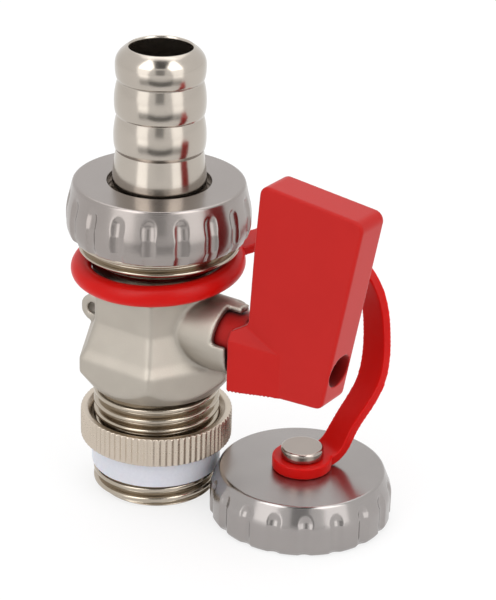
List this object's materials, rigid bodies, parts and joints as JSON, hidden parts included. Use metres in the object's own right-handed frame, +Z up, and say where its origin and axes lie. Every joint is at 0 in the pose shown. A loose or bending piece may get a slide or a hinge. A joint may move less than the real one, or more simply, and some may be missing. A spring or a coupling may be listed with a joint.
{
  "type": "drain cock",
  "caption": "Half-inch boiler drain cock: a ball valve with a barbed hose tail under a fluted union nut, a red lever, a knurled lock nut and a tethered blanking cap.",
  "frame": {"origin": "centre of the inlet end face", "axes": "+Z up the flow axis from the inlet to the hose tail, +X out along the stem towards the lever, +Y by the right-hand rule"},
  "size_m": [0.0556, 0.041, 0.0768],
  "materials": {
    "forged_nickel_brass": "forged and shot-blasted, nickel plated",
    "turned_nickel_brass": "turned, nickel plated",
    "chromed_brass": "polished, chrome plated",
    "steel": "zinc plated",
    "ptfe": "matte white",
    "rubber": "matte black",
    "red_lever_plastic": "moulded, satin",
    "red_strap_plastic": "soft moulded, slight gloss"
  },
  "bodies": {
    "valve": {"valve_body": "forged_nickel_brass", "inlet_seat": "ptfe", "outlet_seat": "ptfe", "seat_retainer": "turned_nickel_brass"},
    "lever": {"lever_handle": "red_lever_plastic", "handle_screw": "steel", "stem": "turned_nickel_brass", "ball": "chromed_brass", "stem_thrust_washer": "ptfe", "stem_o_ring_inner": "rubber", "stem_o_ring_outer": "rubber"},
    "hose_connector": {"hose_tail": "turned_nickel_brass", "hose_tail_gasket": "rubber"},
    "union": {"union_nut": "turned_nickel_brass"},
    "thread_seal": {"thread_seal_ring": "ptfe"},
    "lock": {"lock_nut": "turned_nickel_brass"},
    "strap": {"cap_strap": "red_strap_plastic"},
    "cap": {"blanking_cap": "turned_nickel_brass", "cap_rivet": "turned_nickel_brass", "cap_gasket": "rubber"}
  },
  "joints": [
    {"name": "lever_turn", "type": "hinge", "parent": "valve", "child": "lever", "pos_m": [0, 0, 0.031], "axis": [1, 0, 0], "range_deg": [0, 90]},
    {"name": "hose_tail_lift", "type": "slide", "parent": "valve", "child": "hose_connector", "axis": [0, 0, 1], "range_m": [0, 0.00726]},
    {"name": "union_nut_turn", "type": "hinge", "parent": "hose_connector", "child": "union", "pos_m": [0, 0, 0.049], "axis": [0, 0, 1], "range_deg": [0, 1440]},
    {"name": "seal_ring_lift", "type": "slide", "parent": "valve", "child": "thread_seal", "axis": [0, 0, 1], "range_m": [0, 0.00453]},
    {"name": "lock_nut_turn", "type": "hinge", "parent": "thread_seal", "child": "lock", "pos_m": [0, 0, 0.011], "axis": [0, 0, 1], "range_deg": [0, 900]},
    {"name": "strap_swing", "type": "hinge", "parent": "valve", "child": "strap", "pos_m": [0, 0, 0.04], "axis": [0, 0, 1], "range_deg": [-12, 200]},
    {"name": "cap_spin", "type": "hinge", "parent": "strap", "child": "cap", "pos_m": [0.02554, 0.00557, 0.009], "axis": [0, 0, 1], "continuous": true}
  ],
  "couplings": [
    {"joint": "union_nut_turn", "follows": "hose_tail_lift", "rad_per_m": 3463.7},
    {"joint": "lock_nut_turn", "follows": "seal_ring_lift", "rad_per_m": 3463.7}
  ]
}
